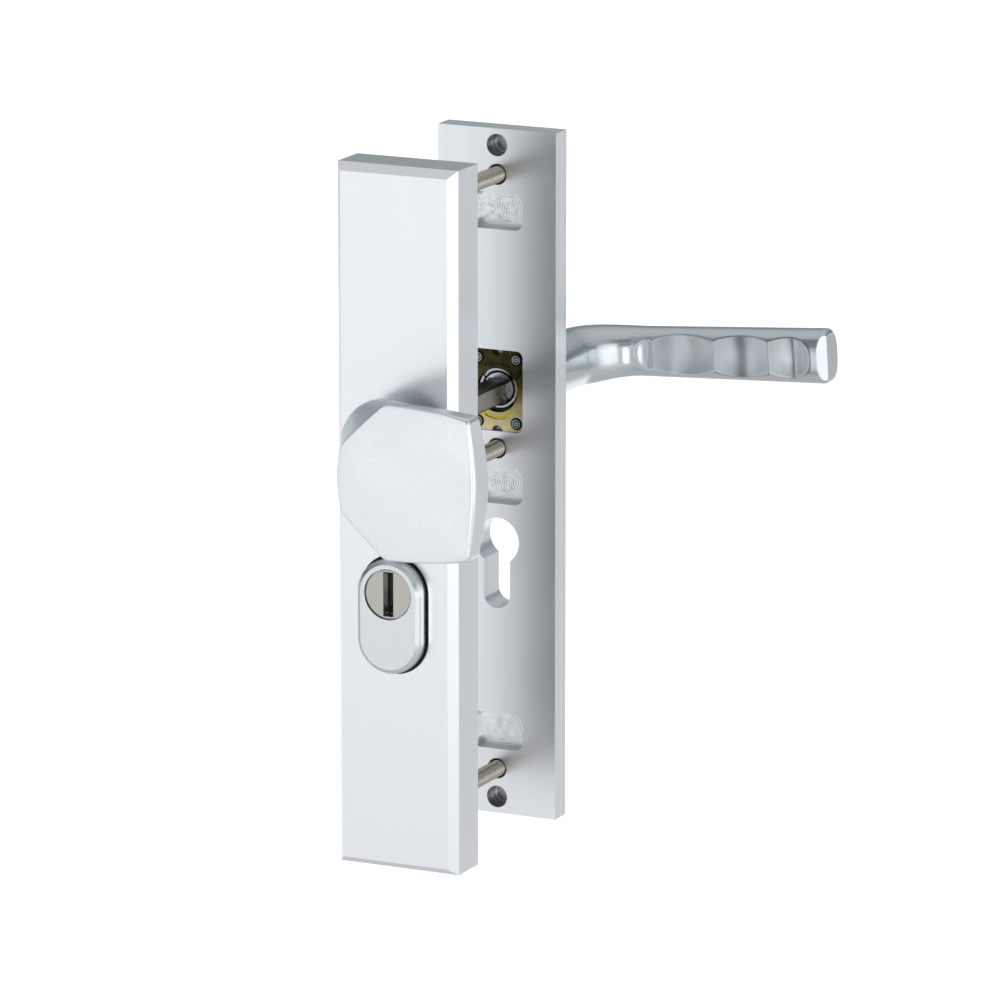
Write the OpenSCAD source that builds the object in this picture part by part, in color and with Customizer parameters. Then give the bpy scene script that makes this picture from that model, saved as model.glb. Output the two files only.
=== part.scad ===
/* [Plates] */
// Height of both plates
plate_h = 250; // [242:1:320]
// Width of both plates
plate_w = 46; // [44:0.5:60]
// Thickness of the outer plate
outer_t = 19; // [18:0.1:24]
// Thickness of the inner plate
inner_t = 12.4; // [12:0.1:16]
// Width of the bevel around a plate's show face
bevel_w = 2.6; // [1:0.1:3.5]
// Depth of the bevel around a plate's show face
bevel_d = 3.7; // [1:0.1:5]
// Height of the spindle axis above the middle of the plates
spindle_rise = 30.5; // [24:0.5:36]

/* [Door] */
// Thickness of the door between the plates
door_t = 64; // [35:0.5:90]

/* [Lock] */
// Distance from the spindle down to the cylinder
centres = 55; // [52:0.5:56]
// Width of the square spindle
spindle_w = 8; // [7:0.5:10]
// Diameter of the round part of the profile hole
profile_d = 17.2; // [17:0.1:17.6]
// Width of the slot below it
profile_slot_w = 10.2; // [10:0.1:10.6]
// Height of the whole profile hole
profile_h = 33.2; // [33:0.1:34]

/* [Fixings] */
// Diameter of the long fixing screws
screw_d = 6; // [4:0.5:6]
// Height of the top screw above the middle of the plates
top_screw_rise = 108.5; // [96:0.5:112]
// Distance of the middle screw below the spindle
mid_screw_drop = 21; // [20:0.5:22]
// Diameter of the two blind stud holes
stud_d = 8; // [6:0.5:8.5]
// Distance of a stud hole from the plate's end
stud_inset = 6; // [5.5:0.5:8]
// Depth of a stud hole
stud_depth = 6; // [3:0.5:8]

/* [Cylinder cover] */
// Radius of the cover's round ends
cover_r = 12.2; // [12:0.1:12.6]
// Distance between the centres of the cover's round ends
cover_drop = 16.3; // [15.5:0.1:18]
// How far the cover stands off the outer plate
cover_proud = 5.5; // [5:0.1:8]
// How far a long cylinder pushes the cover out
cover_travel = 4; // [2:0.5:4]

/* [Knob] */
// Distance from the outer plate to the knob's front face
knob_reach = 65; // [55:0.5:80]
// Sideways offset of the knob's front face
knob_crank = 35.7; // [25:0.1:40]
// Half width of the knob's front face
knob_half_w = 25.2; // [22:0.1:32]
// Radius of the round rear end
knob_rear_r = 15.5; // [14:0.1:18]
// Gap between the plate and the round rear end
knob_gap = 9; // [8:0.5:14]
// Radius of the neck
knob_neck_r = 10; // [9:0.5:12]

/* [Lever] */
// Length of the lever from the spindle axis
lever_l = 96; // [88:0.5:128]
// Distance from the inner plate to the middle of the grip
lever_off = 65.5; // [54:0.5:70]
// Height of the grip
lever_h = 19; // [16:0.5:24]
// Thickness of the grip
lever_t = 14.5; // [12:0.5:18]
// Upward slope of the grip
lever_slope = 3.7; // [0:0.1:6]

/* [Hidden] */
$fn = 96;

// Clearances
seat = 0.05;        // between pieces of one body that fit together
run = 0.06;         // radial, between a turning piece and its bearing
apart = 0.3;        // between faces of bodies that move apart
over = 0.5;         // how far a cut runs past a face

// Places along Z
mid_z = -spindle_rise;
top_z = mid_z + plate_h / 2;
bottom_z = mid_z - plate_h / 2;
cyl_z = -centres;
screw_zs = [mid_z + top_screw_rise, -mid_screw_drop, mid_z - top_screw_rise];
stud_zs = [top_z - stud_inset, bottom_z + stud_inset];

// Places along Y
front_y = -outer_t;
door_y = door_t;
room_y = door_t + inner_t;

// Armour plate and the pocket that holds it
rim_x = 4;
rim_z = 4;
armour_t = 5.8;
armour_recess = 0.2;
armour_r = 4;
armour_y = -armour_t - armour_recess;
boss_d = 10;
boss_l = 9;
boss_z_room = boss_d / 2 + 1;
wall_t = 6;
wall_y = front_y + wall_t;
arm_screw_d = 3.4;
arm_screw_head_d = 6.6;
arm_screw_x = plate_w / 2 - rim_x - 4.6;
arm_screw_zs = [top_z - rim_z - 4.5, cyl_z - cover_drop - 30, bottom_z + rim_z + 4.5];
bush_d = 13;

// Knob fastening
knob_socket = 2;
knob_wall_y = front_y + 5;
washer_t = 1.5;
washer_d = 18;
knob_screw_d = 6;
knob_screw_head_d = 10;
knob_screw_head_t = 5.5;
knob_screw_l = 22;
dowel_d = 3;
dowel_x = 6.3;
dowel_l = 9;
knob_round = 1.6;
knob_waist_p = 21;
knob_waist_x = 7.8;
knob_waist_r = knob_rear_r + 2.7;
knob_side = 11;
knob_bevel_x = 1.2;
knob_face_round = 1.8;
spigot_r = 6;
spigot_l = 16;

// Cover
guide_t = 0.6;
guide_r = cover_r + apart + guide_t;
flange_t = 1.8;
flange_r = cover_r + 4.6;
flange_y = armour_y - apart - flange_t;
cover_front_y = front_y - cover_proud;
cap_wall = 2;
disc_d = 17.2;
disc_lip_d = 19.2;
disc_recess = 0.6;
disc_front_t = 3.2;
disc_lip_t = 1.4;
disc_gap = 0.4;
disc_gap_l = 1.4;
disc_y = cover_front_y + disc_recess;
circlip_t = 1;
circlip_y = disc_y + disc_front_t + disc_lip_t + 0.15;
insert_y = circlip_y + circlip_t + 0.1;
guide_slot_w = 3;
guide_slot_h = 12.4;
key_guide_d = 15.4;
key_guide_t = 3.4;
key_slot_w = 3.9;
key_slot_h = 15.8;
spring_d = 2.6;
spring_x = guide_r + 0.4 + spring_d / 2;
spring_zs = [cyl_z - 3, cyl_z - cover_drop + 3];
spring_pocket = 3;
cover_screw_d = 2.2;
cover_screw_x = 7.6;
cover_screw_z = cyl_z - cover_drop / 2 - 2.5;
cover_screw_l = 7;
cover_screw_head_d = 3.5;
cover_screw_sink = 0.9;

// Mechanism in the inner plate
mech_w = 20;
mech_h = 29.5;
mech_t = 2;
mech_r = 2.4;
mech_sunk = 0.3;
mech_notch_r = 2;
mech_groove_r = 9.6;
mech_groove_w = 0.9;
mech_groove_d = 0.5;
mech_groove_span = 10;
rivet_x = 7.5;
rivet_z = 11.6;
rivet_d = 3.9;
rivet_shank_d = 2.6;
rivet_l = 4.6;
hub_r = 7.9;
hub_lip_r = 9.6;
hub_lip_t = 1.8;
chamber_r = 10.7;
neck_r = 9;
ring_t = 3;
ring_r = 12.5;
ring_proud = 1.4;
spring_wire = 0.9;
neck_ring_t = 0.9;
neck_ring_y = room_y - ring_t - apart - neck_ring_t;
hub_y = door_y + mech_sunk + mech_t + apart;
hub_front_y = door_y + mech_sunk + 1.2;
lever_neck_y = hub_y + hub_lip_t + seat;

// Spindle
spindle_end_y = armour_y + 1.2;
journal_r = spindle_w / 2 - 0.1;
journal_l = 7;
spindle_corner = 1;
spindle_room_l = 27;
clip_t = 0.8;

// Inner plate's back
pocket_w = 20;
pocket_h = 13.2;
pocket_d = 5;
pocket_r = 3;
pocket_zs = [mid_z + 95.4, mid_z - 4.1, mid_z - 94.6];
screw_head_d = 2 * screw_d + 0.6;
screw_head_t = screw_head_d / 2 - screw_d / 2;

// Turns a child drawn in X and Y into the X-Z plane, grown from y0 to y1
module along_y(y0, y1) {
    translate([0, y0, 0]) rotate([-90, 0, 0]) mirror([0, 1, 0]) linear_extrude(y1 - y0) children();
}

// Straight round bar or bore along Y
module bar(r, y0, y1, x = 0, z = 0) {
    translate([x, y0, z]) rotate([-90, 0, 0]) cylinder(r = r, h = y1 - y0);
}

// Cone along Y
module taper(r0, r1, y0, y1, x = 0, z = 0) {
    translate([x, y0, z]) rotate([-90, 0, 0]) cylinder(r1 = r0, r2 = r1, h = y1 - y0);
}

// Rectangle with round corners
module rounded(w, h, r) {
    square([w - 2 * r, h], center = true);
    square([w, h - 2 * r], center = true);
    for (x = [-1, 1], y = [-1, 1]) translate([x * (w / 2 - r), y * (h / 2 - r)]) circle(r);
}

// Upright oval: two round ends of radius r whose centres are drop apart, the upper one at the cylinder
module oval(r, drop = cover_drop) {
    translate([0, cyl_z]) circle(r);
    translate([0, cyl_z - drop]) circle(r);
    translate([-r, cyl_z - drop]) square([2 * r, drop]);
}

// Outline of a profile cylinder, grown by gap
module profile(gap = 0) {
    r = profile_slot_w / 2 + gap;
    low = cyl_z + profile_d / 2 - profile_h + profile_slot_w / 2;
    translate([0, cyl_z]) circle(profile_d / 2 + gap);
    translate([0, low]) circle(r);
    translate([-r, low]) square([2 * r, cyl_z - low]);
}

// Plate with bevels around its show face; out is -1 for a face towards -Y and 1 towards +Y
module bevelled(y_back, y_show) {
    out = sign(y_show - y_back);
    shoulder = y_show - out * bevel_d;
    intersection() {
        translate([0, 0, bottom_z]) linear_extrude(plate_h) polygon([
            [-plate_w / 2, y_back], [-plate_w / 2, shoulder], [-plate_w / 2 + bevel_w, y_show],
            [plate_w / 2 - bevel_w, y_show], [plate_w / 2, shoulder], [plate_w / 2, y_back]
        ]);
        translate([-plate_w / 2, 0, 0]) rotate([90, 0, 90]) linear_extrude(plate_w) polygon([
            [y_back, bottom_z], [shoulder, bottom_z], [y_show, bottom_z + bevel_w],
            [y_show, top_z - bevel_w], [shoulder, top_z], [y_back, top_z]
        ]);
    }
}

// Closed skin over rings that have the same number of points
module skin(rings) {
    n = len(rings[0]);
    m = len(rings);
    sides = [for (i = [0:m - 2], j = [0:n - 1]) let (k = (j + 1) % n) each [
        [i * n + j, (i + 1) * n + k, i * n + k],
        [i * n + j, (i + 1) * n + j, (i + 1) * n + k]
    ]];
    first = [for (j = [0:n - 1]) j];
    last = [for (j = [n - 1:-1:0]) (m - 1) * n + j];
    polyhedron([for (ring = rings) each ring], concat([first], sides, [last]), convexity = 6);
}

function mix(a, b, t) = a + (b - a) * t;
function ease(t) = let (u = min(1, max(0, t))) u * u * (3 - 2 * u);

// ---- Outer plate and what it holds ----

module outer_plate() {
    color("gainsboro") difference() {
        bevelled(0, front_y);
        // pocket for the armour plate
        along_y(armour_y, over) translate([0, mid_z]) rounded(plate_w - 2 * rim_x, plate_h - 2 * rim_z, armour_r);
        // opening and sliding room of the cylinder cover
        along_y(front_y - over, wall_y + over) oval(guide_r + seat);
        along_y(wall_y, armour_y + over) oval(flange_r + apart);
        for (x = [-1, 1], z = spring_zs)
            bar(spring_d / 2 + 0.2, wall_y - spring_pocket, wall_y + over, x * spring_x, z);
        // socket, screw and dowel holes of the knob
        bar(knob_neck_r + seat, front_y - over, front_y + knob_socket);
        bar(washer_d / 2 + 1, knob_wall_y, armour_y + over);
        bar(knob_screw_d / 2 + 0.3, front_y, knob_wall_y + over);
        for (x = [-1, 1]) bar(dowel_d / 2 + seat, front_y, knob_wall_y + over, x * dowel_x);
        // room for the bosses and the armour screws
        for (z = screw_zs) bar(boss_d / 2 + 0.2, -boss_l - 0.4, 0, 0, z);
        for (x = [-1, 1], z = arm_screw_zs)
            bar(arm_screw_d / 2 + seat, wall_y, armour_y + over, x * arm_screw_x, z);
    }
}

module outer_armour_plate() {
    color("lightslategray") difference() {
        along_y(armour_y, -armour_recess) translate([0, mid_z])
            rounded(plate_w - 2 * rim_x - 2 * seat, plate_h - 2 * rim_z - 2 * seat, armour_r - seat);
        along_y(armour_y - over, over) profile(0.5);
        bar(bush_d / 2, armour_y - over, over);
        for (z = screw_zs) bar(boss_d / 2, armour_y - over, over, 0, z);
        for (x = [-1, 1], z = arm_screw_zs) {
            bar(arm_screw_d / 2 + 0.2, armour_y - over, over, x * arm_screw_x, z);
            taper(arm_screw_d / 2 + 0.2, arm_screw_head_d / 2 + 0.2, -armour_recess - 2, -armour_recess,
                x * arm_screw_x, z);
        }
    }
}

module armour_screws() {
    color("silver") for (x = [-1, 1], z = arm_screw_zs) difference() {
        union() {
            bar(arm_screw_d / 2, wall_y + 0.4, -armour_recess - 1.6, x * arm_screw_x, z);
            taper(arm_screw_d / 2, arm_screw_head_d / 2, -armour_recess - 1.75, -armour_recess - 0.1,
                x * arm_screw_x, z);
        }
        // hexagon socket
        translate([x * arm_screw_x, -armour_recess - 1.4, z]) rotate([-90, 0, 0]) cylinder(d = 2.3, h = 2, $fn = 6);
    }
}

module boss_nuts() {
    color("silver") for (z = screw_zs) difference() {
        bar(boss_d / 2 - seat, -boss_l, -armour_recess, 0, z);
        bar(screw_d / 2 + 0.1, -boss_l - over, over, 0, z);
    }
}

module outer_spindle_bush() {
    color("darkgoldenrod") difference() {
        bar(bush_d / 2 - seat, armour_y, -armour_recess);
        bar(journal_r + run, armour_y - over, over);
    }
}

// ---- Knob ----

// The face's outline is bounded by six wide arcs: direction of each, distance from the middle, radius
knob_arcs = [for (m = [
    [0, 24.9, 220], [87.25, 26.8, 168], [133.4, 25.2, 300],
    [180, 25.5, 42], [226.6, 25.2, 300], [272.75, 26.8, 168]
]) let (k = knob_half_w / 25.2) [m[0], m[1] * k, m[2] * k]];
knob_corner = 60;
// Distance from the middle to one arc in direction a
function arc_reach(arc, a) = let (c = arc[1] - arc[2], t = c * cos(a - arc[0]))
    t + sqrt(max(0.0001, t * t - c * c + arc[2] * arc[2]));
function knob_edge(a) = pow(
    [for (arc = knob_arcs) pow(arc_reach(arc, a), -knob_corner)] * [for (arc = knob_arcs) 1],
    -1 / knob_corner);

// The upright wall behind the face is deepest on the side the knob points to
function knob_wall(a) = 2 + 3 * ease((cos(a) + 0.5) / 0.6) + 6 * pow(max(0, cos(a)), 2);
// One section, p behind the plate's face
function knob_ring(p, inset = 0) = [for (i = [0:47]) let (
    a = i * 7.5,
    w0 = min(1, max(0, (p - knob_waist_p) / (knob_reach - knob_wall(a) - knob_waist_p))),
    w = w0 - 0.12 * sin(180 * w0) * w0,
    x = p < knob_waist_p ? knob_waist_x * pow(p / knob_waist_p, 1.5)
        : mix(knob_waist_x, knob_crank, min(1, (p - knob_waist_p) / (knob_reach - knob_side - knob_waist_p))),
    r0 = mix(knob_rear_r, knob_waist_r, min(1, (p - knob_gap) / (knob_waist_p - knob_gap))),
    r = mix(r0, knob_edge(a) + knob_bevel_x * pow(max(0, cos(a)), 3), w) - inset
) [x + r * cos(a), front_y - p, r * sin(a)]];

module knob() {
    color("gainsboro") difference() {
        skin(concat(
            [for (a = [0:30:60]) knob_ring(knob_gap + knob_round * (1 - cos(a)), knob_round * (1 - sin(a)))],
            [for (i = [0:16]) knob_ring(mix(knob_gap + knob_round, knob_reach - knob_face_round, i / 16))],
            [knob_ring(knob_reach - 0.7, 0.4), knob_ring(knob_reach, 1.2)]
        ));
        bar(spigot_r + seat, front_y - knob_gap - spigot_l, front_y);
    }
}

module knob_spigot() {
    color("silver") difference() {
        union() {
            bar(knob_neck_r, front_y - knob_gap + seat, front_y + knob_socket - seat);
            bar(spigot_r, front_y - knob_gap - spigot_l + 0.3, front_y - knob_gap + over);
        }
        bar(knob_screw_d / 2 + 0.1, knob_wall_y + washer_t - knob_screw_l - 1, front_y + knob_socket + over);
        for (x = [-1, 1])
            bar(dowel_d / 2 + seat, knob_wall_y - dowel_l - 0.3, front_y + knob_socket + over, x * dowel_x);
    }
}

module knob_screw() {
    y = knob_wall_y + washer_t + seat;
    color("dimgray") difference() {
        union() {
            bar(knob_screw_d / 2, y - knob_screw_l, y + 1);
            bar(knob_screw_head_d / 2, y, y + knob_screw_head_t);
        }
        // hexagon socket
        translate([0, y + knob_screw_head_t - 3, 0]) rotate([-90, 0, 0]) cylinder(d = 5.6, h = 4, $fn = 6);
    }
}

module knob_washer() {
    color("silver") difference() {
        bar(washer_d / 2, knob_wall_y, knob_wall_y + washer_t);
        bar(knob_screw_d / 2 + 0.3, knob_wall_y - over, knob_wall_y + washer_t + over);
    }
}

module knob_dowel_pins() {
    color("silver") for (x = [-1, 1])
        bar(dowel_d / 2, knob_wall_y - dowel_l, knob_wall_y - 0.1, x * dowel_x);
}

// ---- Cylinder cover ----

module cover_guide() {
    color("black") difference() {
        along_y(front_y + 0.4, wall_y) oval(guide_r);
        along_y(front_y - over, wall_y + over) oval(guide_r - guide_t);
    }
}

module cover_cap() {
    lip = 1.6;
    color("gainsboro") difference() {
        union() {
            along_y(cover_front_y + lip, flange_y) oval(cover_r);
            hull() for (z = [cyl_z, cyl_z - cover_drop]) {
                taper(cover_r - lip, cover_r - 0.4, cover_front_y, cover_front_y + 0.5 * lip, 0, z, $fn = 64);
                bar(cover_r, cover_front_y + lip, cover_front_y + lip + 0.01, 0, z, $fn = 64);
            }
        }
        // key disc with its lip and circlip
        bar(disc_d / 2 + run, cover_front_y - over, insert_y, 0, cyl_z);
        bar(disc_d / 2 + disc_gap, cover_front_y - over, disc_y + disc_gap_l, 0, cyl_z);
        bar(disc_lip_d / 2 + 0.2, disc_y + disc_front_t - 0.1, insert_y, 0, cyl_z);
        bar(disc_lip_d / 2 + 0.9, circlip_y - seat, circlip_y + circlip_t + seat, 0, cyl_z);
        // room for the insert
        along_y(insert_y - seat, flange_y + over) oval(cover_r - cap_wall);
    }
}

module cover_insert() {
    color("slategray") difference() {
        along_y(insert_y, flange_y - seat) oval(cover_r - cap_wall - seat);
        along_y(insert_y - over, flange_y + over) profile(0.25);
        for (x = [-1, 1])
            bar(cover_screw_d / 2 + seat, flange_y - cover_screw_l, flange_y + over,
                x * cover_screw_x, cover_screw_z);
    }
}

module cover_flange() {
    color("lightslategray") difference() {
        along_y(flange_y, flange_y + flange_t) oval(flange_r);
        along_y(flange_y - over, flange_y + flange_t + over) profile(0.25);
        for (x = [-1, 1]) {
            bar(cover_screw_d / 2 + seat, flange_y - over, flange_y + flange_t + over,
                x * cover_screw_x, cover_screw_z);
            taper(cover_screw_d / 2 + seat, cover_screw_head_d / 2 + 3 * seat,
                flange_y + flange_t - cover_screw_sink, flange_y + flange_t, x * cover_screw_x, cover_screw_z);
        }
    }
}

module cover_screws() {
    color("silver") for (x = [-1, 1]) {
        bar(cover_screw_d / 2, flange_y - cover_screw_l + 0.3, flange_y + flange_t - 0.5,
            x * cover_screw_x, cover_screw_z);
        taper(cover_screw_d / 2, cover_screw_head_d / 2, flange_y + flange_t - cover_screw_sink + seat,
            flange_y + flange_t - 0.1, x * cover_screw_x, cover_screw_z);
    }
}

module cover_springs() {
    wire = 0.4;
    y0 = wall_y - spring_pocket + seat;
    y1 = flange_y - seat;
    turns = 6;
    color("silver") for (x = [-1, 1], z = spring_zs) translate([x * spring_x, 0, z]) rotate([-90, 0, 0]) {
        for (i = [0:turns]) translate([0, 0, mix(y0 + wire / 2, y1 - wire / 2, i / turns)])
            rotate_extrude($fn = 24) translate([spring_d / 2 - wire / 2, 0]) circle(d = wire, $fn = 16);
        translate([spring_d / 2 - wire / 2, 0, y0 + wire / 2]) cylinder(d = wire * 0.8, h = y1 - y0 - wire, $fn = 16);
    }
}

module disc_circlip() {
    color("dimgray") difference() {
        bar(disc_lip_d / 2 + 0.8, circlip_y, circlip_y + circlip_t, 0, cyl_z);
        bar(key_guide_d / 2 + apart, circlip_y - over, circlip_y + circlip_t + over, 0, cyl_z);
        translate([-1.6, circlip_y - over, cyl_z - disc_lip_d]) cube([3.2, circlip_t + 2 * over, disc_lip_d]);
    }
}

module key_disc() {
    color("tan") difference() {
        union() {
            bar(disc_d / 2, disc_y, disc_y + disc_front_t + 0.2, 0, cyl_z);
            bar(disc_lip_d / 2, disc_y + disc_front_t, disc_y + disc_front_t + disc_lip_t, 0, cyl_z);
        }
        translate([-key_slot_w / 2, disc_y - over, cyl_z - key_slot_h / 2])
            cube([key_slot_w, disc_front_t + disc_lip_t + 2 * over, key_slot_h]);
    }
}

module key_guide() {
    y = disc_y + disc_front_t + disc_lip_t + seat;
    color("dimgray") difference() {
        bar(key_guide_d / 2, y, y + key_guide_t, 0, cyl_z);
        translate([-guide_slot_w / 2, y - over, cyl_z - guide_slot_h / 2])
            cube([guide_slot_w, key_guide_t + 2 * over, guide_slot_h]);
    }
}

// ---- Inner plate and its mechanism ----

module inner_plate() {
    color("gainsboro") difference() {
        bevelled(door_y, room_y);
        along_y(door_y - over, room_y + over) profile();
        // seat of the mechanism plate and the round room behind it
        along_y(door_y - over, door_y + mech_sunk + mech_t) rounded(mech_w + 2 * seat, mech_h + 2 * seat, mech_r);
        bar(chamber_r, door_y + mech_sunk + mech_t + 0.1 - over, room_y - ring_t);
        bar(ring_r + seat, room_y - ring_t - seat, room_y + over);
        for (x = [-1, 1], z = [-1, 1])
            bar(rivet_shank_d / 2 + seat, door_y, door_y + mech_sunk + mech_t + rivet_l, x * rivet_x, z * rivet_z);
        // milled pockets
        for (z = pocket_zs)
            along_y(door_y - over, door_y + pocket_d) translate([0, z]) rounded(pocket_w, pocket_h, pocket_r);
        // fixing screws
        for (z = screw_zs) {
            bar(screw_d / 2 + 0.5, door_y - over, room_y + over, 0, z);
            taper(screw_d / 2 + 0.8, screw_d / 2 + 0.5, door_y - 0.01, door_y + 0.3, 0, z);
            taper(screw_d / 2 + 0.5, screw_head_d / 2 + 0.5, room_y - screw_head_t, room_y + 0.01, 0, z);
        }
        for (z = stud_zs) bar(stud_d / 2, door_y - over, door_y + stud_depth, 0, z);
    }
}

module mechanism_plate() {
    y = door_y + mech_sunk;
    color("goldenrod") difference() {
        along_y(y, y + mech_t) rounded(mech_w, mech_h, mech_r);
        bar(hub_r + run, y - over, y + mech_t + over);
        for (z = [-1, 1]) bar(mech_notch_r, y - over, y + mech_t + over, 0, z * mech_h / 2);
        for (x = [-1, 1], z = [-1, 1])
            bar(rivet_shank_d / 2 + seat, y - over, y + mech_t + over, x * rivet_x, z * rivet_z);
        // grooved arcs above and below the bearing
        for (z = [-1, 1]) intersection() {
            difference() {
                bar(mech_groove_r + mech_groove_w, y - over, y + mech_groove_d);
                bar(mech_groove_r, y - 2 * over, y + mech_groove_d + over);
            }
            translate([-mech_groove_span / 2, y - 2 * over, z > 0 ? 0 : -mech_h])
                cube([mech_groove_span, mech_t, mech_h]);
        }
    }
}

module mechanism_rivets() {
    y = door_y + mech_sunk;
    color("silver") for (x = [-1, 1], z = [-1, 1]) {
        bar(rivet_d / 2 - 0.2, y - 0.45, y - 0.25, x * rivet_x, z * rivet_z);
        bar(rivet_d / 2, y - 0.25, y, x * rivet_x, z * rivet_z);
        bar(rivet_shank_d / 2, y - 0.1, y + mech_t + rivet_l - 0.2, x * rivet_x, z * rivet_z);
    }
}

module lever_bearing_ring() {
    color("silver") difference() {
        union() {
            bar(ring_r, room_y - ring_t, room_y);
            taper(ring_r, ring_r - 0.5, room_y, room_y + ring_proud);
        }
        bar(neck_r + run, room_y - ring_t - over, room_y + ring_proud + over);
    }
}

module return_spring() {
    coil_r = (neck_r + chamber_r) / 2;
    y0 = lever_neck_y + 0.6;
    y1 = neck_ring_y - 0.3 - spring_wire;
    coils = max(1, floor((y1 - y0) / (spring_wire + 0.05)));
    color("silver") {
        for (i = [0:coils]) translate([0, y0 + spring_wire / 2 + i * (y1 - y0) / coils, 0]) rotate([-90, 0, 0])
            rotate_extrude() translate([coil_r, 0]) circle(d = spring_wire, $fn = 24);
        bar(spring_wire / 2 - 0.1, y0 + 0.2, y1 + 0.6, 0, coil_r);
    }
}

module fixing_screws() {
    color("rosybrown") for (z = screw_zs) difference() {
        union() {
            bar(screw_d / 2, -boss_l + 2, room_y - 0.2, 0, z);
            taper(screw_d / 2, screw_head_d / 2, room_y - screw_head_t - 0.2, room_y - 0.2, 0, z);
        }
        translate([0, room_y - 3.4, z]) rotate([-90, 0, 0]) cylinder(d = 4.6, h = 4, $fn = 6);
    }
}

// ---- Lever and what turns with it ----

// The lever's middle line runs out along the spindle axis, turns through a quarter bend and goes along the grip
bend_r = 22;
grip_y = room_y + lever_off;
neck_l = grip_y - bend_r - (room_y + ring_proud + apart);
arc_l = bend_r * PI / 2;
grip_l = lever_l - bend_r;
path_l = neck_l + arc_l + grip_l;
function bend_angle(s) = 90 * min(1, max(0, (s - neck_l) / arc_l));
function lever_point(s) = let (a = bend_angle(s), g = max(0, s - neck_l - arc_l)) [
    bend_r * (1 - cos(a)) + g,
    grip_y - bend_r - neck_l + min(s, neck_l) + bend_r * sin(a)
];
// The door side is cut flat from the first to the last of these places, with a finger hollow between each two
finger_xs = [for (part = [0.215, 0.296, 0.547, 0.772, 0.948]) part * lever_l];
// Depth of the flat and its run-in, and depth of a hollow beyond the flat as a part of the hollow's length
finger_flat = 1;
finger_run = 8;
finger_dip = 0.062;
// How softly the first hollow starts, and how fast a hollow rises off its middle line
finger_first = 1.5;
finger_bowl = 0.009;
function hollow(x) = let (
    dips = [for (i = [0:3]) let (length = finger_xs[i + 1] - finger_xs[i], part = (x - finger_xs[i]) / length)
        if (part > 0 && part < 1) finger_dip * length * sin(180 * pow(part, i == 0 ? finger_first : 1))]
) len(dips) ? dips[0] + finger_flat * ease((x - finger_xs[0]) / finger_run)
    * ease((finger_xs[4] - x) / finger_run) : 0;
// Rounds the edge of the end, down to this part of the section
end_round = 2.2;
end_part = 0.78;
function tip(s) = let (d = path_l - s)
    d > end_round ? 1 : mix(end_part, 1, sqrt(max(0, 1 - pow(1 - d / end_round, 2))));
// Radius at the foot, and half height and half thickness where the bend starts
foot_r = 10;
bend_half_h = 10.6;
bend_half_t = 10.4;
// The grip is a twentieth lower where it starts and a twentieth higher at its end
grip_taper = 0.05;
function grip_h(s) = lever_h / 2 * mix(1 - grip_taper, 1 + grip_taper, max(0, s - neck_l - arc_l) / grip_l);
function half_h(s) = tip(s) * mix(foot_r,
    mix(bend_half_h, grip_h(s), ease((s - neck_l - 0.3 * arc_l) / (0.7 * arc_l))), ease(s / neck_l));
function half_t(s) = tip(s) * mix(foot_r,
    mix(bend_half_t, lever_t / 2, ease((s - neck_l - 0.3 * arc_l) / (0.9 * arc_l))), ease(s / neck_l));
// One section: a soft rectangle square to the middle line
function lever_ring(s) = let (p = lever_point(s), b = bend_angle(s), k = 2 / mix(2, 2.7, ease(s / (neck_l + arc_l))))
    [for (i = [0:39]) let (
        a = -9 * i,
        c = sign(cos(a)) * pow(abs(cos(a)), k),
        d = sign(sin(a)) * pow(abs(sin(a)), k),
        cut = hollow(p[0]),
        side = min(c * half_t(s), half_t(s) - cut + (cut > 0 ? finger_bowl * pow(d * half_h(s), 2) : 0)),
        x = p[0] + side * cos(b),
        y = p[1] - side * sin(b),
        z = d * half_h(s)
    ) [x * cos(lever_slope) - z * sin(lever_slope), y, x * sin(lever_slope) + z * cos(lever_slope)]];

module lever_handle() {
    steps = 64;
    color("gainsboro") difference() {
        union() {
            skin([for (i = [0:steps]) lever_ring(path_l * i / steps)]);
            bar(neck_r, lever_neck_y, room_y + ring_proud + 2);
        }
        // socket for the spindle, groove for the ring, hole for the grub screw
        along_y(lever_neck_y - over, room_y + spindle_room_l + 0.6) square(spindle_w + 2 * seat, center = true);
        difference() {
            bar(neck_r + over, neck_ring_y - seat, neck_ring_y + neck_ring_t + seat);
            bar(neck_r - 0.9, neck_ring_y - over, neck_ring_y + neck_ring_t + over);
        }
        translate([0, grub_y, -16]) cylinder(r = grub_r + seat, h = 14);
        // sloping flat across the end's door side
        rotate([0, -lever_slope, 0]) translate([lever_l, grip_y - lever_t / 2 + end_flat, 0])
            rotate([0, 0, -end_turn]) translate([0, -lever_h, -lever_h]) cube(2 * lever_h);
    }
}

grub_r = 2.5;
grub_l = 4.6;
grub_y = room_y + 14;
// How far the sloping flat reaches across the end, and its angle to the end
end_flat = 4.2;
end_turn = 33;

module lever_grub_screw() {
    color("dimgray") difference() {
        translate([0, grub_y, -spindle_w / 2 - seat - grub_l]) cylinder(r = grub_r, h = grub_l - seat);
        translate([0, grub_y, -spindle_w / 2 - grub_l - 1]) cylinder(d = 2.8, h = 3, $fn = 6);
    }
}

module lever_hub() {
    color("silver") difference() {
        union() {
            bar(hub_r, hub_front_y, hub_y + 0.5);
            bar(hub_lip_r, hub_y, hub_y + hub_lip_t);
        }
        along_y(door_y - over, hub_y + hub_lip_t + over) square(spindle_w + 2 * seat, center = true);
        // drive notches
        for (a = [45:90:315]) rotate([0, a, 0]) translate([-1, hub_front_y - over, hub_r - 1.3])
            cube([2, 0.7 + over, 3]);
    }
}

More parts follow.
